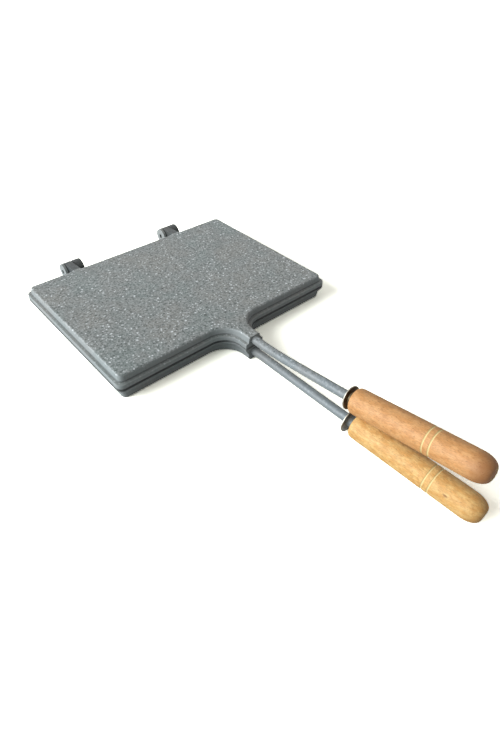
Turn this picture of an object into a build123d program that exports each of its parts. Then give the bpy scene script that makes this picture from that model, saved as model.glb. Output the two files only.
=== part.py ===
from build123d import *
import os

# A hinged cooking iron: two shallow cast pans that close face to face, each with a bent steel rod
# and a turned wooden grip. Millimetres, +Z up, origin at the centre of the lower pan's underside.
# +X runs along the hinge, +Y runs from the grips to the hinge.

# ---- driving dimensions ----
plate_width = 240.0        # flat outer face of a pan, along X
plate_depth = 175.0        # the same face, along Y
closed_height = 26.0       # both pans, face to face
parting_z = 14.0           # the plane where they meet, which holds the hinge axis too
parting_gap = 0.9          # between the two rims when closed

wall_lean = 0.8            # how far the outer wall leans outwards up to the ledge
wall_corner = 5.0          # corner radius of the walls, seen from above
rim_corner = 6.0
rim_reach = 3.8            # rim stands this far outside the flat face
rim_lean = 0.2
upper_edge_round = 2.0     # between the flat face and the wall
lower_edge_round = 2.4
ledge_round = 0.9          # hollow where the ledge meets the wall
rim_round = 0.7            # shoulder where the ledge meets the rim
parting_round = 0.4
upper_rim = 4.6            # upright part of the rim
lower_rim = 2.0
upper_ledge = 0.6          # height over which the ledge slopes from wall to rim
lower_ledge = 4.4

pocket_floor = 3.8         # metal left under a pocket
pocket_wall = 11.0         # from the rim's outer edge to the pocket
divider = 8.0              # bar between the two pockets
pocket_corner = 9.0
pocket_draft = 10.0        # degrees
pocket_round = 2.0

neck_half_width = 6.0      # at the flat face
neck_fillet = 22.0         # sweep from the front edge into the neck
neck_end = -118.0          # Y of the cut end
neck_overlap = 5.0         # of the neck's outline inside the plate's
neck_spare = 10.0          # of the neck before its end is cut square

hinge_centre = 63.5        # X of each hinge, left and right
hinge_width = 22.0
ear_width = 3.2            # thin outer ear of the lower pan
knuckle_width = 8.6        # knuckle of the upper pan
ear_gap = 0.5
knuckle_gap = 1.6
pin_y = 112.25
knuckle_radius = 8.6
pin_radius = 2.45
pin_recess = 1.6           # of each pin's ends inside the outer lug faces
pin_chamfer = 0.4
held_clearance = 0.01      # pin in the lower pan's lugs
running_clearance = 0.05   # pin in the upper pan's knuckle
arm_root = 2.2             # arm's distance from the flat face at the pan's back wall
arm_start_y = 86.0         # inside the back wall
arm_bend_y = 92.0          # where the arm leaves the level of the flat face
arm_below_rim = 0.2        # arm's top below the face of its own rim
lug_round = 0.5

rod_radius = 4.0
rod_socket = 26.0          # length of rod held inside a neck
lower_rod_height = 8.0     # rod centre above the lower pan's flat face
upper_rod_depth = 5.0      # rod centre below the upper pan's flat face
rod_in_grip = 88.0
grip_bore = 90.0           # depth of the hole in the wood
fit_clearance = 0.02       # rod in its neck, grip and collar
rod_chamfer = 0.6

grip_length = 108.5
grip_front_radius = 10.8
grip_rear_radius = 10.7
grip_chamfer = 0.9
dome_length = 11.5
dome_flat = 4.0            # radius of the flat left by the lathe
upper_grooves = (63.7, 68.7)
lower_grooves = (66.5, 71.5)
groove_width = 1.3
groove_depth = 0.45

upper_collar = (9.9, 4.6)  # radius, and how far its front stands ahead of the wood
lower_collar = (10.8, 6.0)
collar_thickness = 1.4
collar_hub = 4.9
collar_round = 0.5

# corners of the rods' runs as (X, Y, Z), and how each straight end leads on, per mm of its length
upper_bends = ((0.0, -142.0, closed_height - upper_rod_depth), (0.0, -222.0, 30.4))
upper_end = (0.0, -1.0, 0.16)
upper_bend_radius = 340.0
upper_grip_y = -232.7      # Y of the wood's front face
lower_bends = ((0.0, -124.0, lower_rod_height), (-2.2, -215.0, 11.0))
lower_end = (0.015, -1.0, 0.001)
lower_bend_radius = 500.0
lower_grip_y = -238.5

plate_half_depth = plate_depth / 2
rod_start_y = neck_end + rod_socket
from_base = (Align.CENTER, Align.CENTER, Align.MIN)


def plan(grow, corner):
    """Outline of a pan seen from above, grown outwards by a distance, neck included."""
    half_w = plate_width / 2 + grow
    half_d = plate_half_depth + grow
    plate = Rectangle(2 * half_w, 2 * half_d)
    plate = fillet(plate.vertices(), corner)
    neck_top = -half_d + neck_overlap
    neck_low = neck_end - neck_spare
    neck = Pos(0, (neck_top + neck_low) / 2) * Rectangle(2 * (neck_half_width + grow), neck_top - neck_low)
    outline = plate + neck
    inner = [v for v in outline.vertices() if abs(v.X) < neck_half_width + grow + 1 and v.Y > neck_end]
    return fillet(inner, neck_fillet - grow)


def layer(low, high):
    """Solid between two outlines, each given as its height, how far it is grown, and its corner radius."""
    outlines = [(Pos(0, 0, height) * plan(grow, corner)).face() for height, grow, corner in (low, high)]
    return loft(outlines, ruled=True)


def edges_at(shape, height):
    """Edges that lie level at a height."""
    def is_level(edge):
        box = edge.bounding_box()
        return abs(box.min.Z - height) < 0.001 and abs(box.max.Z - height) < 0.001
    return [edge for edge in shape.edges() if is_level(edge)]


def pan_blank(height, rim_height, ledge_height, edge_round):
    """Solid outer shape of a pan, flat face down: wall, sloped ledge and rim round plate and neck."""
    rim_z = height - rim_height
    ledge_z = rim_z - ledge_height
    foot = (0, 0, wall_corner)
    wall_top = (ledge_z, wall_lean, wall_corner)
    rim_foot = (rim_z, rim_reach, rim_corner)
    rim_top = (height, rim_reach + rim_lean, rim_corner)
    wall = layer(foot, wall_top)
    wall = fillet(wall.faces().sort_by(Axis.Z)[0].edges(), edge_round)
    beyond = Pos(0, neck_end - 2 * neck_spare, 0) * Box(100, 4 * neck_spare, 100)
    blank = wall + layer(wall_top, rim_foot) + layer(rim_foot, rim_top) - beyond
    blank = fillet(edges_at(blank, ledge_z), ledge_round)
    blank = fillet(edges_at(blank, rim_z), rim_round)
    return fillet(edges_at(blank, height), parting_round)


def pocket(side, height):
    """Space for one slice of bread, left (-1) or right (+1)."""
    outer_x = plate_width / 2 + rim_reach - pocket_wall
    outer_y = plate_half_depth + rim_reach - pocket_wall
    width = outer_x - divider / 2
    mouth = Rectangle(width, 2 * outer_y)
    mouth = fillet(mouth.vertices(), pocket_corner)
    centre_x = side * (outer_x + divider / 2) / 2
    space = extrude(Pos(centre_x, 0, height) * mouth, pocket_floor - height, taper=pocket_draft)
    return fillet(space.faces().sort_by(Axis.Z)[0].edges(), pocket_round)


def rod_bore(rod_height):
    bore = Cylinder(rod_radius + fit_clearance, rod_socket + neck_spare, align=from_base)
    return Pos(0, rod_start_y, rod_height) * Rot(90, 0, 0) * bore


def pan_half(height, rim_height, ledge_height, edge_round, rod_height):
    """One pan without hinge parts, lying with its flat face down at Z = 0."""
    blank = pan_blank(height, rim_height, ledge_height, edge_round)
    return blank - pocket(-1, height) - pocket(1, height) - rod_bore(rod_height)


def lug(x_low, width, pin_z, hole_clearance):
    """A hinge lug on a pan that lies face down: an arm from the back wall and a round end about the pin."""
    arm_top = pin_z - parting_gap / 2 - arm_below_rim
    arm = Polyline((arm_start_y, arm_root), (arm_bend_y, arm_root), (pin_y, pin_z - knuckle_radius),
                   (pin_y, pin_z - 1), (pin_y - knuckle_radius, arm_top), (arm_start_y, arm_top), close=True)
    side_view = make_face(arm) + Pos(pin_y, pin_z) * Circle(knuckle_radius)
    blank = extrude(Plane.YZ.offset(x_low) * side_view, width)
    blank = fillet(blank.edges().filter_by(Axis.X, reverse=True), lug_round)
    hole = Rot(0, 90, 0) * Cylinder(pin_radius + hole_clearance, 2 * width)
    return blank - Pos(x_low + width / 2, pin_y, pin_z) * hole


def hinge_starts():
    return [side * hinge_centre - hinge_width / 2 for side in (-1, 1)]


def lower_pan():
    height = parting_z - parting_gap / 2
    body = pan_half(height, lower_rim, lower_ledge, lower_edge_round, lower_rod_height)
    second = ear_width + ear_gap + knuckle_width + knuckle_gap
    for start in hinge_starts():
        body += lug(start, ear_width, parting_z, held_clearance)
        body += lug(start + second, hinge_width - second, parting_z, held_clearance)
    return body


def upper_pan():
    """Built face down as the lower pan is, then turned over about mid height."""
    pin_z = closed_height - parting_z
    height = pin_z - parting_gap / 2
    body = pan_half(height, upper_rim, upper_ledge, upper_edge_round, upper_rod_depth)
    for start in hinge_starts():
        body += lug(start + ear_width + ear_gap, knuckle_width, pin_z, running_clearance)
    return mirror(body, about=Plane.XY.offset(closed_height / 2))


def hinge_pin(start):
    length = hinge_width - 2 * pin_recess
    pin = Pos(start + hinge_width / 2, pin_y, parting_z) * Rot(0, 90, 0) * Cylinder(pin_radius, length)
    return chamfer(pin.edges().filter_by(GeomType.CIRCLE), pin_chamfer)


def on_straight(bends, end, y):
    """Point of a rod's straight end at a place along Y."""
    return Vector(*bends[-1]) + Vector(*end) * (bends[-1][1] - y)


def rod(bends, end, bend_radius, end_y):
    start = Vector(bends[0][0], rod_start_y, bends[0][2])
    corners = [start, *(Vector(*bend) for bend in bends), on_straight(bends, end, end_y)]
    section = Plane(origin=start, z_dir=(0, -1, 0)) * Circle(rod_radius)
    bar = sweep(section, path=FilletPolyline(*corners, radius=bend_radius))
    faces = bar.faces().sort_by(Axis.Y)
    return chamfer(faces[0].edges() + faces[-1].edges(), rod_chamfer)


def grip(grooves):
    """Turned wooden grip along +Z, front face at Z = 0, with two rings cut near the butt."""
    dome_start = grip_length - dome_length
    dome_reach = grip_rear_radius - dome_flat
    bore = rod_radius + fit_clearance
    with BuildSketch(Plane.XZ) as profile:
        with BuildLine():
            front = Line((bore, 0), (grip_front_radius - grip_chamfer, 0))
            bevel = Line(front @ 1, (grip_front_radius, grip_chamfer))
            side = Line(bevel @ 1, (grip_rear_radius, dome_start))
            dome = EllipticalCenterArc((dome_flat, dome_start), dome_reach, dome_length, arc_size=90)
            Line(dome @ 1, (0, grip_length))
            Line((0, grip_length), (0, grip_bore))
            Line((0, grip_bore), (bore, grip_bore))
            Line((bore, grip_bore), (bore, 0))
        make_face()
    wood = revolve(profile.sketch, Axis.Z)
    for place in grooves:
        share = (place - grip_chamfer) / (dome_start - grip_chamfer)
        radius = grip_front_radius + share * (grip_rear_radius - grip_front_radius)
        wood -= Pos(0, 0, place) * Torus(radius + groove_width / 2 - groove_depth, groove_width / 2)
    return wood


def collar(radius, lead):
    """Steel collar: a thin flange and a short hub that reaches back to the wood, along +Z."""
    flange = Cylinder(radius, collar_thickness, align=from_base)
    flange = fillet(flange.edges().filter_by(GeomType.CIRCLE), collar_round)
    hub = Cylinder(collar_hub, lead, align=from_base)
    bore = Cylinder(rod_radius + fit_clearance, 3 * lead)
    return Pos(0, 0, -lead) * (flange + hub) - bore


def handle(bends, end, bend_radius, front_y, grooves, collar_size):
    """Rod, grip and collar; the grip and collar sit on the rod's straight end, +Z towards the butt."""
    seat = Plane(origin=on_straight(bends, end, front_y), z_dir=end)
    bar = rod(bends, end, bend_radius, front_y - rod_in_grip)
    return bar, seat * grip(grooves), seat * collar(*collar_size)


upper_bar, upper_wood, upper_ring = handle(
    upper_bends, upper_end, upper_bend_radius, upper_grip_y, upper_grooves, upper_collar)
lower_bar, lower_wood, lower_ring = handle(
    lower_bends, lower_end, lower_bend_radius, lower_grip_y, lower_grooves, lower_collar)
left_start, right_start = hinge_starts()

nodes = {
    "lower_pan": lower_pan(),
    "upper_pan": upper_pan(),
    "left_hinge_pin": hinge_pin(left_start),
    "right_hinge_pin": hinge_pin(right_start),
    "lower_rod": lower_bar,
    "upper_rod": upper_bar,
    "lower_grip": lower_wood,
    "upper_grip": upper_wood,
    "lower_collar": lower_ring,
    "upper_collar": upper_ring,
}

os.makedirs("parts", exist_ok=True)
for name, shape in nodes.items():
    export_step(shape, f"parts/{name}.step")
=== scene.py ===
import math

import bmesh
import bpy
from mathutils import Matrix, Vector


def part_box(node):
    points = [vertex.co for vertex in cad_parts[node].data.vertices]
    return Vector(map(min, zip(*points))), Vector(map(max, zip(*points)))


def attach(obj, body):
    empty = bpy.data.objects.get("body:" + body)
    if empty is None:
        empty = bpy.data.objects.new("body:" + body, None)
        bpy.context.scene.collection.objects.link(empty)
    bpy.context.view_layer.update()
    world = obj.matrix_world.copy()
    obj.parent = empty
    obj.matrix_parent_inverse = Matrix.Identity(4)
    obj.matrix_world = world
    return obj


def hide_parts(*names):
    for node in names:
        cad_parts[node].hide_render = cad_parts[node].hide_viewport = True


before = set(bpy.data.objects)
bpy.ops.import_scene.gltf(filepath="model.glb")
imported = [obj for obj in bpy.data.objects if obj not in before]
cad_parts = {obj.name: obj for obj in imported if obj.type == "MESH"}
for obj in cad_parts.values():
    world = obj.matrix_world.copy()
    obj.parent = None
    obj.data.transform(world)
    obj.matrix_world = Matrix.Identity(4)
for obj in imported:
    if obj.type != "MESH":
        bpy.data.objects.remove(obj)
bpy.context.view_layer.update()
mm = 0.001  # Blender's metres in a millimetre; sizes and places below are in millimetres
scene = bpy.context.scene


# colours, nodes and pieces

def linear(hexColour):
    # sRGB hex to the linear colour that sockets take
    channels = [int(hexColour[i:i + 2], 16) / 255 for i in (0, 2, 4)]
    values = [c / 12.92 if c <= 0.04045 else ((c + 0.055) / 1.055) ** 2.4 for c in channels]
    return (*values, 1.0)


def addNode(tree, kind, inputs=None, stops=(), **settings):
    # one node: its settings, its ramp stops, then its live inputs, filled or linked.
    # a link may be given as a node, which then means its first live output
    node = tree.nodes.new(kind)
    for name, value in settings.items():
        setattr(node, name, value)
    for number, (place, colour) in enumerate(stops):
        ramp = node.color_ramp.elements
        element = ramp[number] if number < 2 else ramp.new(place)
        element.position = place
        element.color = colour
    live = [socket for socket in node.inputs if socket.enabled]
    for key, value in (inputs or {}).items():
        socket = live[key] if isinstance(key, int) else node.inputs[key]
        if isinstance(value, bpy.types.Node):
            value = next(output for output in value.outputs if output.enabled)
        if isinstance(value, bpy.types.NodeSocket):
            tree.links.new(value, socket)
        else:
            socket.default_value = value
    return node


def newMaterial(name):
    material = bpy.data.materials.new(name)
    material.use_nodes = True
    material.node_tree.nodes.clear()
    return material, material.node_tree


def addPiece(name, bm, materials):
    mesh = bpy.data.meshes.new(name)
    bm.to_mesh(mesh)
    bm.free()
    for material in materials:
        mesh.materials.append(material)
    piece = bpy.data.objects.new(name, mesh)
    scene.collection.objects.link(piece)
    return piece


# speckled coating: non-stick enamel sprayed on cast aluminium in several passes and baked,
# which gives a satin grey ground, ragged flecks of many sizes and a faint orange peel

coating = {
    "ground": "898C88",
    "groundWarm": "8D8D87",
    "groundCool": "838B87",
    "mottleDark": "5E6361",
    "mottlePale": "AEB1AF",
    "wall": "A4AAAA",         # painted sheen: upright faces are drawn paler and bluer, standing in for the light they reflect
    "wallCover": 0.36,
    "wallTurn": (0.9, 0.5),   # upward part of the normal where that starts and where it is complete
    "lightFleck": "E6E9E8",
    "paleFleck": "CDD1CF",
    "darkFleck": "383C3B",
    "roughness": 0.44,
    "shineSpread": (-0.05, 0.07),
    "dotSizes": (0.45, 1.2),  # smallest and largest fleck, as shares of its pass's radius
    "dotCore": 0.6,           # share of a fleck's radius that is fully covered
    "passShift": (0.37, 0.71, 0.53),  # metres from one pass's pattern to the next one's
    "tonePatch": 38.0,        # mm across a patch of slightly other tone
    "mottle": 2.2,            # mm between the specks of the ground coat
    "edgeWander": 1.1,        # mm, size of the noise that makes the flecks ragged
    "wanderDepth": 0.5,       # mm
    "peel": 1.6,              # mm between the bumps of the orange peel
    "peelDepth": 0.10,
    "onWalls": 0.30,          # share of the flecks on upright faces, since they are sprayed from above
    "fleckTurn": (0.35, 0.85),  # upward part of the normal of an upright and of a level face
    "inside": 0.40,           # share on ledges and in pockets, which are nearer the middle of the iron
    "middle": 13.0,           # height halfway between the outer faces
    "fromMiddle": (9.0, 11.5),  # mm over which the inside's share grows to the outside's
    # painted shade: colour of the dark lines in the gap between the rims and in the hollow above the ledge
    "paintedShade": "1A1B1C",
    "shadeEnd": 93.0,          # Y past which the hinge parts are free of it
    "shadeFade": 1.0,          # mm
    "neckStart": -94.0,       # Y past which the neck has only some
    "neckFade": 8.0,
    "shadeOnNeck": 0.4,
    "shadeOnRims": 0.55,       # share of the cover on the level rims that meet
    "rimTurn": (0.99, 0.85),  # upward part of the normal of a level rim and of what has full cover
    "shadeCore": 0.45,         # share of a line's reach that is fully covered
}
# painted shade lines, where the rims meet and in the hollow above the upper ledge: height and reach to each
# side in mm, cover
shadeLines = [
    {"height": 14.0, "reach": 1.7, "cover": 0.92},
    {"height": 19.95, "reach": 0.9, "cover": 0.62},
]
fleckPasses = [  # mm between flecks, mm of radius, share sprayed, colour, cover
    {"cell": 2.4, "radius": 0.75, "share": 0.50, "tint": "darkFleck", "cover": 0.45},
    {"cell": 2.2, "radius": 0.75, "share": 0.55, "tint": "paleFleck", "cover": 0.60},
    {"cell": 4.5, "radius": 0.95, "share": 0.45, "tint": "darkFleck", "cover": 0.85},
    {"cell": 3.2, "radius": 0.90, "share": 0.55, "tint": "lightFleck", "cover": 0.85},
    {"cell": 4.8, "radius": 1.15, "share": 0.50, "tint": "lightFleck", "cover": 0.92},
]


def addFlecks(tree, vector, colour, flecks, seed, tint, sprayed, strength):
    # lays one pass of flecks over a colour: a dot at the middle of some cells, each of its own size
    shift = tuple(seed * step for step in coating["passShift"])
    moved = addNode(tree, "ShaderNodeVectorMath", {0: vector, 1: shift})
    cells = addNode(tree, "ShaderNodeTexVoronoi", {"Vector": moved, "Scale": 1 / (flecks["cell"] * mm)})
    pick = addNode(tree, "ShaderNodeSeparateColor", {"Color": cells.outputs["Color"]})
    usual = flecks["radius"] / flecks["cell"]
    smallest, largest = coating["dotSizes"]
    edge = addNode(tree, "ShaderNodeMapRange", {"Value": pick.outputs[1], "To Min": smallest * usual,
                                                "To Max": largest * usual})
    core = addNode(tree, "ShaderNodeMath", {0: edge, 1: coating["dotCore"]}, operation="MULTIPLY")
    dot = addNode(tree, "ShaderNodeMapRange", {"Value": cells.outputs["Distance"], "From Min": edge,
                                               "From Max": core}, interpolation_type="SMOOTHSTEP")
    landed = addNode(tree, "ShaderNodeMath", {0: pick.outputs[0], 1: flecks["share"]}, operation="LESS_THAN")
    covered = addNode(tree, "ShaderNodeMath", {0: dot, 1: landed}, operation="MULTIPLY")
    cover = addNode(tree, "ShaderNodeMath", {0: sprayed, 1: flecks["cover"] * strength}, operation="MULTIPLY")
    factor = addNode(tree, "ShaderNodeMath", {0: covered, 1: cover}, operation="MULTIPLY")
    return addNode(tree, "ShaderNodeMix", {0: factor, 1: colour, 2: tint}, data_type="RGBA")


def addPaintedShade(tree, place, level, colour):
    # painted shade: dark lines where the rims meet and in the hollow above the upper ledge, standing in for
    # the shade in the gap and the crease
    axes = addNode(tree, "ShaderNodeSeparateXYZ", {0: place}).outputs
    here = addNode(tree, "ShaderNodeMapRange", {"Value": axes["Y"], "From Min": coating["shadeEnd"] * mm,
                                                "From Max": (coating["shadeEnd"] - coating["shadeFade"]) * mm})
    neckFull = coating["neckStart"] - coating["neckFade"]
    neck = addNode(tree, "ShaderNodeMapRange", {"Value": axes["Y"], "From Min": neckFull * mm,
                                                "From Max": coating["neckStart"] * mm,
                                                "To Min": coating["shadeOnNeck"]})
    here = addNode(tree, "ShaderNodeMath", {0: here, 1: neck}, operation="MULTIPLY")
    rim, edge = coating["rimTurn"]
    upright = addNode(tree, "ShaderNodeMapRange", {"Value": level, "From Min": rim, "From Max": edge,
                                                   "To Min": coating["shadeOnRims"]})
    here = addNode(tree, "ShaderNodeMath", {0: here, 1: upright}, operation="MULTIPLY")
    for line in shadeLines:
        away = addNode(tree, "ShaderNodeMath", {0: axes["Z"], 1: line["height"] * mm}, operation="SUBTRACT")
        away = addNode(tree, "ShaderNodeMath", {0: away}, operation="ABSOLUTE")
        paintedShade = addNode(tree, "ShaderNodeMapRange", {"Value": away, "From Min": line["reach"] * mm,
                                                    "From Max": coating["shadeCore"] * line["reach"] * mm,
                                                    "To Max": line["cover"]})
        paintedShade = addNode(tree, "ShaderNodeMath", {0: paintedShade, 1: here}, operation="MULTIPLY")
        colour = addNode(tree, "ShaderNodeMix", {0: paintedShade, 1: colour, 2: linear(coating["paintedShade"])},
                         data_type="RGBA")
    return colour


def speckledCoating(name, tints, strength=1.0, onPan=False):
    material, tree = newMaterial(name)
    texture = addNode(tree, "ShaderNodeTexCoord").outputs
    place = texture["Object"]
    facing = addNode(tree, "ShaderNodeSeparateXYZ", {0: texture["Normal"]})
    level = addNode(tree, "ShaderNodeMath", {0: facing.outputs["Z"]}, operation="ABSOLUTE")
    upright, flat = coating["fleckTurn"]
    upward = addNode(tree, "ShaderNodeMapRange", {"Value": level, "From Min": upright, "From Max": flat,
                                                  "To Min": coating["onWalls"]})
    axes = addNode(tree, "ShaderNodeSeparateXYZ", {0: place}).outputs
    depth = addNode(tree, "ShaderNodeMath", {0: axes["Z"], 1: coating["middle"] * mm}, operation="SUBTRACT")
    depth = addNode(tree, "ShaderNodeMath", {0: depth}, operation="ABSOLUTE")
    near, far = coating["fromMiddle"]
    outer = addNode(tree, "ShaderNodeMapRange", {"Value": depth, "From Min": near * mm, "From Max": far * mm,
                                                 "To Min": coating["inside"]})
    sprayed = addNode(tree, "ShaderNodeMath", {0: upward, 1: outer}, operation="MULTIPLY")
    wander = addNode(tree, "ShaderNodeTexNoise", {"Vector": place, "Scale": 1 / (coating["edgeWander"] * mm)})
    push = addNode(tree, "ShaderNodeVectorMath", {0: wander.outputs["Color"], 1: (0.5, 0.5, 0.5)},
                   operation="SUBTRACT")
    pushed = addNode(tree, "ShaderNodeVectorMath", {0: push, "Scale": 2 * coating["wanderDepth"] * mm},
                     operation="SCALE")
    ragged = addNode(tree, "ShaderNodeVectorMath", {0: place, 1: pushed})

    patches = addNode(tree, "ShaderNodeTexNoise", {"Vector": place, "Scale": 1 / (coating["tonePatch"] * mm),
                                                   "Detail": 3.0, "Roughness": 0.6})
    tone = addNode(tree, "ShaderNodeValToRGB", {0: patches},
                   [(0.36, linear(tints["groundCool"])), (0.64, linear(tints["groundWarm"])),
                    (0.5, linear(tints["ground"]))])
    specks = addNode(tree, "ShaderNodeTexNoise", {"Vector": place, "Scale": 1 / (coating["mottle"] * mm),
                                                  "Detail": 2.0, "Roughness": 0.65})
    dark = addNode(tree, "ShaderNodeMapRange", {"Value": specks, "From Min": 0.47, "From Max": 0.33})
    pale = addNode(tree, "ShaderNodeMapRange", {"Value": specks, "From Min": 0.53, "From Max": 0.67})
    for speck, tint in ((dark, "mottleDark"), (pale, "mottlePale")):
        factor = addNode(tree, "ShaderNodeMath", {0: speck, 1: sprayed}, operation="MULTIPLY")
        tone = addNode(tree, "ShaderNodeMix", {0: factor, 1: tone, 2: linear(tints[tint])}, data_type="RGBA")
    colour = tone
    if onPan:
        # painted sheen: upright faces of the pans are drawn paler
        flat, upright = coating["wallTurn"]
        sheen = addNode(tree, "ShaderNodeMapRange", {"Value": level, "From Min": flat, "From Max": upright,
                                                    "To Max": coating["wallCover"]})
        colour = addNode(tree, "ShaderNodeMix", {0: sheen, 1: colour, 2: linear(tints["wall"])},
                         data_type="RGBA")
    for seed, flecks in enumerate(fleckPasses, 1):
        tint = linear(tints[flecks["tint"]])
        colour = addFlecks(tree, ragged, colour, flecks, seed, tint, sprayed, strength)

    if onPan:
        # painted shade where the rims meet and in the hollow above the upper ledge
        colour = addPaintedShade(tree, place, level, colour)
    peel = addNode(tree, "ShaderNodeTexNoise", {"Vector": place, "Scale": 1 / (coating["peel"] * mm),
                                                "Detail": 3.0})
    bump = addNode(tree, "ShaderNodeBump", {"Strength": 0.4, "Distance": coating["peelDepth"] * mm,
                                            "Height": peel})
    glossier, duller = (coating["roughness"] + change for change in coating["shineSpread"])
    shine = addNode(tree, "ShaderNodeMapRange", {"Value": peel, "From Min": 0.3, "From Max": 0.7,
                                                 "To Min": glossier, "To Max": duller})
    surface = addNode(tree, "ShaderNodeBsdfPrincipled", {"Base Color": colour, "Roughness": shine,
                                                         "IOR": 1.46, "Normal": bump})
    addNode(tree, "ShaderNodeOutputMaterial", {"Surface": surface})
    return material


rodTints = {
    "ground": "7E8383",
    "groundWarm": "838583",
    "groundCool": "788082",
    "mottleDark": "676D6E",
    "mottlePale": "989E9F",
    "lightFleck": "C4CACB",
    "paleFleck": "A8AEB0",
    "darkFleck": "4A5052",
}
hingeShadeTints = {  # painted shade: the hinge parts are drawn in a dark coat, standing in for the shade they lie in
    "ground": "474B4B",
    "groundWarm": "4B4C49",
    "groundCool": "434949",
    "mottleDark": "2F3333",
    "mottlePale": "5E6362",
    "lightFleck": "727675",
    "paleFleck": "5A5E5D",
    "darkFleck": "1F2221",
}
panCoat = speckledCoating("speckledCoating", coating, onPan=True)
rodCoat = speckledCoating("speckledRodCoating", rodTints, 0.7)
hingeShadeCoat = speckledCoating("hingePaintedShade", hingeShadeTints, 0.7)
print("coatings ready")


# pans and rods keep the frame's shape: the loose triangles are joined so that curved faces shade
# smoothly, and weighted normals keep the flat ones flat

casting = {
    "hingeStart": 97.0,         # Y past which the hinge parts begin
    "pinRecess": 1.6,           # of the pins' ends inside the outer lugs
    "paleEar": 3.4,             # width of each hinge's left ear, which is coated like the pan
    "leftSlack": 0.5,           # keeps the ear's left face, which lies on the limit, with the ear
    "creaseAngle": 32.0,        # degrees
}
hingeLefts = [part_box(f"{side}_hinge_pin")[0][0] / mm - casting["pinRecess"] for side in ("left", "right")]


def isHingeFace(face):
    # a face of a knuckle, an arm or a right-hand lug, behind the pans
    middle = face.calc_center_median() / mm
    if middle.y < casting["hingeStart"]:
        return False
    onEar = [left - casting["leftSlack"] <= middle.x <= left + casting["paleEar"] for left in hingeLefts]
    return not any(onEar)


def smoothCopy(node, name, body, materials):
    bm = bmesh.new()
    bm.from_mesh(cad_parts[node].data)
    bmesh.ops.remove_doubles(bm, verts=bm.verts, dist=0.002 * mm)
    bmesh.ops.dissolve_degenerate(bm, edges=bm.edges, dist=0.001 * mm)
    for face in bm.faces:
        face.smooth = True
        # faces of the hinge parts take the painted shade coat
        face.material_index = int(isHingeFace(face))
    crease = math.radians(casting["creaseAngle"])
    for edge in bm.edges:
        edge.smooth = len(edge.link_faces) == 2 and edge.calc_face_angle(0) < crease
    piece = addPiece(name, bm, materials)
    normals = piece.modifiers.new("flatFacesFirst", "WEIGHTED_NORMAL")
    normals.keep_sharp = True
    normals.weight = 100
    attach(piece, body)
    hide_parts(node)


for half in ("lower", "upper"):
    smoothCopy(f"{half}_pan", f"{half}PanCasting", half, [panCoat, hingeShadeCoat])
    smoothCopy(f"{half}_rod", f"{half}RodBar", half, [rodCoat])
print("pans and rods ready")


# what is turned on a lathe: grips, collars and hinge pins

handles = {  # where each grip's front face sits on its rod, and which way the grip leads from there
    "upper": {"front": (0.0, -232.7, 32.112), "lean": (0.0, -1.0, 0.16), "grooves": (63.7, 68.7),
              "collarRadius": 9.9, "collarLead": 4.6},
    "lower": {"front": (-1.8475, -238.5, 11.0235), "lean": (0.015, -1.0, 0.001), "grooves": (66.5, 71.5),
              "collarRadius": 10.8, "collarLead": 6.0},
}
for handle in handles.values():
    turn = Vector(handle["lean"]).to_track_quat("Z", "Y").to_matrix().to_4x4()
    handle["seat"] = Matrix.Translation(Vector(handle["front"]) * mm) @ turn
rodBore = 4.02                  # radius of the hole in the grips and collars


def turnOutline(outline, steps, closed=False):
    # spins an outline of (radius, along) points about Z into a closed skin
    bm = bmesh.new()
    points = [bm.verts.new((radius * mm, 0, along * mm)) for radius, along in outline]
    following = points[1:] + (points[:1] if closed else [])
    edges = [bm.edges.new(pair) for pair in zip(points, following)]
    bmesh.ops.spin(bm, geom=points + edges, cent=(0, 0, 0), axis=(0, 0, 1), dvec=(0, 0, 0),
                   angle=2 * math.pi, steps=steps, use_merge=True, use_duplicate=False)
    bmesh.ops.remove_doubles(bm, verts=bm.verts, dist=0.0005 * mm)
    bmesh.ops.recalc_face_normals(bm, faces=bm.faces)
    for face in bm.faces:
        face.smooth = True
    return bm


def subdivide(piece, levels):
    rounding = piece.modifiers.new("rounding", "SUBSURF")
    rounding.levels = levels
    rounding.render_levels = levels


# varnished rubberwood, turned along the grain: pale fibres and short brown pores run with the grip,
# growth bands are broad and faint, the end grain of the butt drinks stain and is browner

woods = {
    "upper": {"wood": "CA9055", "pale": "D8A268", "band": "B77E46", "pore": "7E4E2A", "butt": "86532B",
              "buttCover": 0.70, "pith": (19.0, -11.0, 0.0)},
    "lower": {"wood": "D5A15B", "pale": "E5BC78", "band": "C4904E", "pore": "8A5A2C", "butt": "A87439",
              "buttCover": 0.32, "pith": (-24.0, -15.0, 0.0), "knot": (-9.6, 4.8, 83.4)},
}
woodGrain = {
    "fibre": (0.55, 3.2),       # mm across and along the grain
    "pores": (0.50, 1.5),
    "knot": (1.4, 3.4),         # a pin knot, drawn out along the grain
    "patches": (3.2, 6.5),
    "patchEdges": (0.38, 0.62),
    "fibreTones": (0.80, 1.16),  # brightness of the darkest and palest fibres
    "fibreDepth": 0.08,         # mm
    "poreEdges": (0.58, 0.70),
    "poreCover": 0.50,
    "knotEdges": (0.75, 0.3),
    "knotCover": 0.85,
    "bandSpacing": 2.7,         # mm between growth rings
    "bandWander": 2.2,
    "bandStretch": 0.06,        # share of the length along the grip that counts towards the rings
    "buttStart": 89.0,          # mm along the grip where the end grain starts to darken
    "buttEnd": 106.0,
    "roughness": 0.62,
    "varnish": 0.08,
    "varnishRoughness": 0.45,
}


def alongGrain(size):
    # scale that makes a pattern as wide and as long as a (width, length) in mm
    width, length = size
    return (1 / (width * mm), 1 / (width * mm), 1 / (length * mm))


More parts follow.
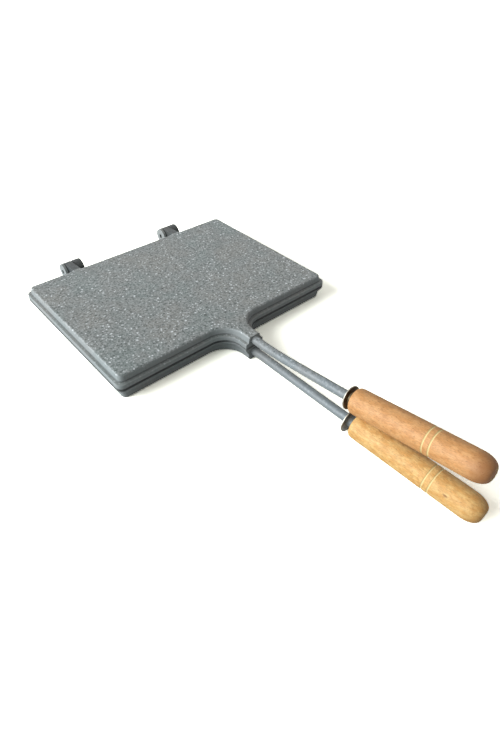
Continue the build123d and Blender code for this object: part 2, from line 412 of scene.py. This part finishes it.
def turnedWood(name, tints, seat):
    material, tree = newMaterial(name)
    place = addNode(tree, "ShaderNodeTexCoord").outputs["Object"]
    local = addNode(tree, "ShaderNodeMapping", {"Vector": place, "Location": seat.translation,
                                                "Rotation": seat.to_euler()}, vector_type="TEXTURE")
    patchPlace = addNode(tree, "ShaderNodeVectorMath", {0: local, 1: alongGrain(woodGrain["patches"])},
                         operation="MULTIPLY")
    patches = addNode(tree, "ShaderNodeTexNoise", {"Vector": patchPlace, "Scale": 1.0, "Detail": 3.0})
    low, high = woodGrain["patchEdges"]
    softPatches = addNode(tree, "ShaderNodeMapRange", {"Value": patches, "From Min": low, "From Max": high,
                                                       "To Min": -0.1})
    colour = addNode(tree, "ShaderNodeMix", {0: softPatches, 1: linear(tints["wood"]),
                                             2: linear(tints["pale"])}, data_type="RGBA")

    # growth rings about the tree's pith, which lies outside the blank
    flat = addNode(tree, "ShaderNodeVectorMath", {0: local, 1: (1.0, 1.0, woodGrain["bandStretch"])},
                   operation="MULTIPLY")
    pith = addNode(tree, "ShaderNodeVectorMath", {0: flat, 1: Vector(tints["pith"]) * mm},
                   operation="DISTANCE")
    rings = addNode(tree, "ShaderNodeMath", {0: pith.outputs["Value"],
                                             1: 1 / (woodGrain["bandSpacing"] * mm)}, operation="MULTIPLY")
    wandering = addNode(tree, "ShaderNodeMath", {0: patches, 1: woodGrain["bandWander"], 2: rings},
                        operation="MULTIPLY_ADD")
    within = addNode(tree, "ShaderNodeMath", {0: wandering}, operation="FRACT")
    band = addNode(tree, "ShaderNodeValToRGB", {0: within}, [(0.0, (0, 0, 0, 1)), (1.0, (0, 0, 0, 1)),
                                                             (0.55, (0.15, 0.15, 0.15, 1)),
                                                             (0.86, (0.32, 0.32, 0.32, 1))])
    colour = addNode(tree, "ShaderNodeMix", {0: band, 1: colour, 2: linear(tints["band"])}, data_type="RGBA")

    fibrePlace = addNode(tree, "ShaderNodeVectorMath", {0: local, 1: alongGrain(woodGrain["fibre"])},
                         operation="MULTIPLY")
    fibres = addNode(tree, "ShaderNodeTexNoise", {"Vector": fibrePlace, "Scale": 1.0, "Detail": 3.0,
                                                  "Roughness": 0.6})
    darkest, palest = woodGrain["fibreTones"]
    streak = addNode(tree, "ShaderNodeMapRange", {"Value": fibres, "From Min": 0.3, "From Max": 0.7,
                                                  "To Min": darkest, "To Max": palest})
    colour = addNode(tree, "ShaderNodeVectorMath", {0: colour, "Scale": streak}, operation="SCALE")
    porePlace = addNode(tree, "ShaderNodeVectorMath", {0: local, 1: alongGrain(woodGrain["pores"])},
                        operation="MULTIPLY")
    pores = addNode(tree, "ShaderNodeTexNoise", {"Vector": porePlace, "Scale": 1.0, "Detail": 1.0})
    low, high = woodGrain["poreEdges"]
    pore = addNode(tree, "ShaderNodeMapRange", {"Value": pores, "From Min": low, "From Max": high,
                                                "To Max": woodGrain["poreCover"]})
    colour = addNode(tree, "ShaderNodeMix", {0: pore, 1: colour, 2: linear(tints["pore"])}, data_type="RGBA")

    if "knot" in tints:
        scale = Vector(alongGrain(woodGrain["knot"]))
        drawn = addNode(tree, "ShaderNodeVectorMath", {0: local, 1: scale}, operation="MULTIPLY")
        away = addNode(tree, "ShaderNodeVectorMath", {0: drawn, 1: Vector(tints["knot"]) * mm * scale},
                       operation="DISTANCE")
        outside, core = woodGrain["knotEdges"]
        knot = addNode(tree, "ShaderNodeMapRange", {"Value": away.outputs["Value"], "From Min": outside,
                                                    "From Max": core, "To Max": woodGrain["knotCover"]})
        colour = addNode(tree, "ShaderNodeMix", {0: knot, 1: colour, 2: linear(tints["pore"])},
                         data_type="RGBA")

    along = addNode(tree, "ShaderNodeSeparateXYZ", {0: local})
    endGrain = addNode(tree, "ShaderNodeMapRange", {"Value": along.outputs["Z"],
                                                    "From Min": woodGrain["buttStart"] * mm,
                                                    "From Max": woodGrain["buttEnd"] * mm,
                                                    "To Max": tints["buttCover"]},
                       interpolation_type="SMOOTHSTEP")
    mottled = addNode(tree, "ShaderNodeMath", {0: endGrain, 1: streak}, operation="MULTIPLY")
    colour = addNode(tree, "ShaderNodeMix", {0: mottled, 1: colour, 2: linear(tints["butt"])},
                     data_type="RGBA")

    bump = addNode(tree, "ShaderNodeBump", {"Strength": 0.35, "Distance": woodGrain["fibreDepth"] * mm,
                                            "Height": fibres})
    surface = addNode(tree, "ShaderNodeBsdfPrincipled", {
        "Base Color": colour, "Roughness": woodGrain["roughness"], "IOR": 1.5, "Normal": bump,
        "Coat Weight": woodGrain["varnish"], "Coat Roughness": woodGrain["varnishRoughness"]})
    addNode(tree, "ShaderNodeOutputMaterial", {"Surface": surface})
    return material


scrapedRing = {
    "wood": "E2C98C",
    "speck": 0.7,               # mm
    "speckTones": (0.85, 1.08),
    "speckDepth": 0.06,         # mm
    "roughness": 0.7,
}


def bareWood(name, look):
    # wood cut back through the varnish by the tip of a scraper: pale, dry and matt
    material, tree = newMaterial(name)
    place = addNode(tree, "ShaderNodeTexCoord").outputs["Object"]
    specks = addNode(tree, "ShaderNodeTexNoise", {"Vector": place, "Scale": 1 / (look["speck"] * mm),
                                                  "Detail": 2.0})
    darkest, palest = look["speckTones"]
    tone = addNode(tree, "ShaderNodeMapRange", {"Value": specks, "From Min": 0.3, "From Max": 0.7,
                                                "To Min": darkest, "To Max": palest})
    colour = addNode(tree, "ShaderNodeVectorMath", {0: linear(look["wood"])[:3], "Scale": tone},
                     operation="SCALE")
    bump = addNode(tree, "ShaderNodeBump", {"Strength": 0.3, "Distance": look["speckDepth"] * mm,
                                            "Height": specks})
    surface = addNode(tree, "ShaderNodeBsdfPrincipled", {"Base Color": colour, "Roughness": look["roughness"],
                                                         "IOR": 1.5, "Normal": bump})
    addNode(tree, "ShaderNodeOutputMaterial", {"Surface": surface})
    return material


gripTurning = {
    "steps": 40,                # spokes round the lathe axis
    "grooveDepth": 0.42,
    "groove": 0.65,             # half width of a cut ring
    "boreDepth": 90.0,
    "flat": 4.0,
    "reach": 6.7,               # of the dome outwards from the flat
    "domeStart": 97.0,
    "domeLength": 11.55,
    "buttHighlight": (3.6, 4.4),      # radii between which the butt's small ring is drawn in the pale scraped-wood material, a painted highlight on the turned ring
}
# (radius, along) points in mm
frontOutline = [(8.0, 0.0), (8.9, 0.1), (9.8, 0.55), (10.45, 1.45), (10.75, 2.7), (10.8, 4.5)]
buttRing = [(4.4, 108.46), (4.15, 108.1), (3.85, 108.08), (3.6, 108.42), (2.8, 108.48), (1.4, 108.5),
            (0.0, 108.5)]


def buttOutline():
    # elliptical dome down to a small flat, which has a fine turned ring
    flat, reach, start, length = (gripTurning[key] for key in ("flat", "reach", "domeStart", "domeLength"))
    dome = [math.radians(angle) for angle in (0, 12, 24, 36, 48, 60, 72, 82, 88)]
    points = [(flat + reach * math.cos(angle), start + length * math.sin(angle)) for angle in dome]
    return [(10.73, 90.0)] + points + buttRing


def gripOutline(grooves):
    # bore, front face and chamfer, long side with its cut rings, domed butt with a small turned ring
    depth = gripTurning["boreDepth"]
    half = gripTurning["groove"]
    points = [(0.0, depth), (rodBore, depth), (rodBore, 0.6), (rodBore + 0.4, 0.0)] + frontOutline
    points += [(10.8, 22.0), (10.78, 45.0)]
    for place in grooves:
        for offset, cut in ((-1.9, 0), (-half - 0.2, 0), (-half, 0), (-half * 0.5, 1), (half * 0.5, 1),
                            (half, 0), (half + 0.2, 0), (1.9, 0)):
            points.append((10.75 - cut * gripTurning["grooveDepth"], place + offset))
    return points + buttOutline()


cutRing = bareWood("scrapedWood", scrapedRing)
for half, handle in handles.items():
    bm = turnOutline(gripOutline(handle["grooves"]), gripTurning["steps"])
    for face in bm.faces:
        middle = face.calc_center_median() / mm
        cut = any(abs(middle.z - place) < gripTurning["groove"] for place in handle["grooves"])
        inner, outer = gripTurning["buttHighlight"]
        # painted highlight: the butt's small ring takes the pale scraped-wood material
        buttHighlight = middle.z > gripTurning["domeStart"] and inner < middle.xy.length < outer
        face.material_index = int(cut or buttHighlight)
    bmesh.ops.transform(bm, matrix=handle["seat"], verts=bm.verts)
    wood = turnedWood(f"{half}TurnedWood", woods[half], handle["seat"])
    piece = addPiece(f"{half}TurnedGrip", bm, [wood, cutRing])
    subdivide(piece, 2)
    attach(piece, half)
    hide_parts(f"{half}_grip")
print("grips ready")


# turned mild steel, tarnished: fine tool rings and a warm haze. The upper collar is drawn dark brown, a
# painted reflection of the wood's shaded front face, and the lower one greyer. The rims are drawn brighter
# than the faces, a painted highlight

collarLooks = {
    # upper collar: dark brown steel, a painted reflection of the wood's shaded front face
    "upper": {"bright": "857A62", "haze": "54493A", "toolRings": 0.35, "hazeSize": 6.0, "roughness": 0.36},
    "lower": {"bright": "A2A5A4", "haze": "74777A", "toolRings": 0.35, "hazeSize": 6.0, "roughness": 0.36},
}
# painted highlight: the collars' rims are drawn paler than their faces
rimHighlightLook = {
    "bright": "BDBAAF",
    "haze": "A19D90",
    "toolRings": 0.35,          # mm between the marks of the turning tool
    "hazeSize": 4.0,
    "roughness": 0.42,
}


steelFinish = {
    "hazeEdges": (0.38, 0.62),
    "shineEdges": (0.35, 0.65),
    "hazeDulls": 0.14,          # roughness that the haze adds
    "markDepth": 0.02,          # mm
}


def turnedSteel(name, seat, look):
    material, tree = newMaterial(name)
    place = addNode(tree, "ShaderNodeTexCoord").outputs["Object"]
    local = addNode(tree, "ShaderNodeMapping", {"Vector": place, "Location": seat.translation,
                                                "Rotation": seat.to_euler()}, vector_type="TEXTURE")
    haze = addNode(tree, "ShaderNodeTexNoise", {"Vector": place, "Scale": 1 / (look["hazeSize"] * mm),
                                                "Detail": 3.0, "Roughness": 0.6})
    hazy, clear = steelFinish["hazeEdges"]
    colour = addNode(tree, "ShaderNodeValToRGB", {0: haze},
                     [(hazy, linear(look["haze"])), (clear, linear(look["bright"]))])
    flat = addNode(tree, "ShaderNodeVectorMath", {0: local, 1: (1.0, 1.0, 0.0)}, operation="MULTIPLY")
    radius = addNode(tree, "ShaderNodeVectorMath", {0: flat}, operation="LENGTH")
    turns = addNode(tree, "ShaderNodeMath", {0: radius.outputs["Value"],
                                             1: 2 * math.pi / (look["toolRings"] * mm)}, operation="MULTIPLY")
    marks = addNode(tree, "ShaderNodeMath", {0: turns}, operation="SINE")
    bump = addNode(tree, "ShaderNodeBump", {"Strength": 0.25, "Distance": steelFinish["markDepth"] * mm,
                                            "Height": marks})
    low, high = steelFinish["shineEdges"]
    dull = look["roughness"] + steelFinish["hazeDulls"]
    shine = addNode(tree, "ShaderNodeMapRange", {"Value": haze, "From Min": low, "From Max": high,
                                                 "To Min": dull, "To Max": look["roughness"]})
    surface = addNode(tree, "ShaderNodeBsdfPrincipled", {"Base Color": colour, "Metallic": 1.0,
                                                         "Roughness": shine, "Normal": bump})
    addNode(tree, "ShaderNodeOutputMaterial", {"Surface": surface})
    return material


collarTurning = {
    "thickness": 0.9,
    "edge": 0.2,                # rounding of the flange's rim
    "hub": 4.9,
    "loops": (5.0, 8.0),        # radii of the loops that keep the flange's faces flat
    "hubFillet": 0.6,
    "steps": 48,
}


def collarOutline(radius, lead):
    # flange with a rounded rim, a small fillet, and a hub that reaches back to the wood
    thick, edge, hub = (collarTurning[key] for key in ("thickness", "edge", "hub"))
    inner, outer = collarTurning["loops"]
    return [(rodBore, -lead + 0.3), (rodBore + 0.3, -lead), (inner, -lead), (outer, -lead),
            (radius - edge, -lead), (radius - edge * 0.3, -lead + edge * 0.3), (radius, -lead + edge),
            (radius, -lead + thick - edge), (radius - edge * 0.3, -lead + thick - edge * 0.3),
            (radius - edge, -lead + thick), (outer, -lead + thick), (hub + 0.7, -lead + thick),
            (hub + 0.2, -lead + thick + 0.2), (hub, -lead + thick + 0.7), (hub, -0.4), (hub - 0.2, -0.05),
            (rodBore + 0.2, -0.05), (rodBore, -0.3)]


for half, handle in handles.items():
    radius, lead, seat = (handle[key] for key in ("collarRadius", "collarLead", "seat"))
    hubReach = collarTurning["hub"] + collarTurning["hubFillet"]
    bm = turnOutline(collarOutline(radius, lead), collarTurning["steps"], closed=True)
    for face in bm.faces:
        middle = face.calc_center_median() / mm
        if middle.xy.length > radius - 0.5 * collarTurning["thickness"]:
            face.material_index = 1
        elif middle.xy.length < hubReach and middle.z > collarTurning["thickness"] - lead:
            face.material_index = 2
    bmesh.ops.transform(bm, matrix=seat, verts=bm.verts)
    steel = turnedSteel(f"{half}CollarSteel", seat, collarLooks[half])
    rim = turnedSteel(f"{half}CollarRimHighlight", seat, rimHighlightLook)
    # the upper hub takes the same painted reflection; the lower hub takes the rods' coat
    piece = addPiece(f"{half}TurnedCollar", bm, [steel, rim, steel if half == "upper" else rodCoat])
    subdivide(piece, 1)
    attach(piece, half)
    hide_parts(f"{half}_collar")
print("collars ready")

pinTurning = {
    "radius": 2.45,
    "crown": 0.25,              # how far the middle of an end stands out
    "steps": 32,
}
pinLook = {  # blackened steel
    "bright": "6B6C6C",
    "haze": "414242",
    "toolRings": 0.4,
    "hazeSize": 3.0,
    "roughness": 0.34,
}
for side in ("left", "right"):
    low, high = (Vector(corner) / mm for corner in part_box(f"{side}_hinge_pin"))
    length = high.x - low.x
    radius, crown = pinTurning["radius"], pinTurning["crown"]
    # crowned end, straight shank with two loops that hold its width, and the other end
    end = [(0.0, 0.0), (0.9, 0.03), (1.6, crown * 0.45), (2.1, crown), (radius - 0.08, crown + 0.25),
           (radius, crown + 0.6)]
    outline = end + [(radius, length * 0.35), (radius, length * 0.65)]
    outline += [(reach, length - along) for reach, along in reversed(end)]
    seat = Matrix.Translation(Vector((low.x, (low.y + high.y) / 2, (low.z + high.z) / 2)) * mm)
    seat = seat @ Matrix.Rotation(math.radians(90), 4, "Y")
    bm = turnOutline(outline, pinTurning["steps"])
    bmesh.ops.transform(bm, matrix=seat, verts=bm.verts)
    piece = addPiece(f"{side}PeenedPin", bm, [turnedSteel(f"{side}PinSteel", seat, pinLook)])
    subdivide(piece, 1)
    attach(piece, "lower")
    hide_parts(f"{side}_hinge_pin")
print("pins ready")


# floor, room, lamp and camera

stage = {
    "bounce": "8C9292",         # floor as it lights the walls and undersides
    "mirrored": "F7F6F2",       # floor as polished and glossy surfaces show it
    "seen": (3.05, 2.98, 2.6),  # floor for camera rays, past white so that it clips where it is well lit
    "halfWidth": 4.0,           # metres
    "sky": 0.285,
    "skyColour": "FAFCFF",
    "lampFrom": (-0.85, 0.38, 0.352),
    "lampDistance": 3.5,        # metres
    "lampSize": 3.6,
    "lampPower": 243.0,
    "lampColour": "F3F9FF",
}
bm = bmesh.new()
bmesh.ops.create_grid(bm, x_segments=1, y_segments=1, size=stage["halfWidth"])
floorMaterial, tree = newMaterial("paleFloor")
floor = addPiece("floor", bm, [floorMaterial])
rays = addNode(tree, "ShaderNodeLightPath").outputs
mirrored = addNode(tree, "ShaderNodeMath", {0: rays["Is Glossy Ray"], 1: rays["Is Transmission Ray"]},
                   operation="MAXIMUM")
colour = addNode(tree, "ShaderNodeMix", {0: mirrored, 1: linear(stage["bounce"]),
                                         2: linear(stage["mirrored"])}, data_type="RGBA")
colour = addNode(tree, "ShaderNodeMix", {0: rays["Is Camera Ray"], 1: colour, 2: (*stage["seen"], 1.0)},
                 data_type="RGBA")
matt = addNode(tree, "ShaderNodeBsdfDiffuse", {"Color": colour})
addNode(tree, "ShaderNodeOutputMaterial", {"Surface": matt})

world = bpy.data.worlds.new("softRoom")
scene.world = world
world.use_nodes = True
tree = world.node_tree
tree.nodes.clear()
rays = addNode(tree, "ShaderNodeLightPath").outputs
seen = addNode(tree, "ShaderNodeMath", {0: rays["Is Camera Ray"], 1: rays["Is Glossy Ray"]},
               operation="MAXIMUM")
seen = addNode(tree, "ShaderNodeMath", {0: seen, 1: rays["Is Transmission Ray"]}, operation="MAXIMUM")
strength = addNode(tree, "ShaderNodeMapRange", {"Value": seen, "To Min": stage["sky"], "To Max": 1.0})
colour = addNode(tree, "ShaderNodeMix", {0: seen, 1: linear(stage["skyColour"]), 2: (1, 1, 1, 1)},
                 data_type="RGBA")
air = addNode(tree, "ShaderNodeBackground", {"Color": colour, "Strength": strength})
addNode(tree, "ShaderNodeOutputWorld", {"Surface": air})

lamp = bpy.data.lights.new("windowSide", "AREA")
lamp.shape = "DISK"
lamp.size = stage["lampSize"]
lamp.energy = stage["lampPower"]
lamp.color = linear(stage["lampColour"])[:3]
holder = bpy.data.objects.new("windowSide", lamp)
scene.collection.objects.link(holder)
direction = Vector(stage["lampFrom"]).normalized()
holder.location = direction * stage["lampDistance"]
holder.rotation_euler = direction.to_track_quat("Z", "Y").to_euler()

cameraSetup = {
    "place": (-234.7, -374.3, 300.6),
    "pitch": 42.946,            # degrees below the horizon
    "azimuth": -41.870,
    "roll": 0.717,
    "lens": 23.671,
    "sensor": 36.0,
}
camera = bpy.data.objects.new("camera", bpy.data.cameras.new("camera"))
scene.collection.objects.link(camera)
camera.data.lens = cameraSetup["lens"]
camera.data.sensor_width = cameraSetup["sensor"]
turn = Matrix.Rotation(math.radians(cameraSetup["azimuth"]), 4, "Z")
tilt = Matrix.Rotation(math.radians(90 - cameraSetup["pitch"]), 4, "X")
roll = Matrix.Rotation(math.radians(cameraSetup["roll"]), 4, "Z")
camera.matrix_world = Matrix.Translation(Vector(cameraSetup["place"]) * mm) @ turn @ tilt @ roll
scene.camera = camera
scene.view_settings.view_transform = "Standard"
print("stage ready")
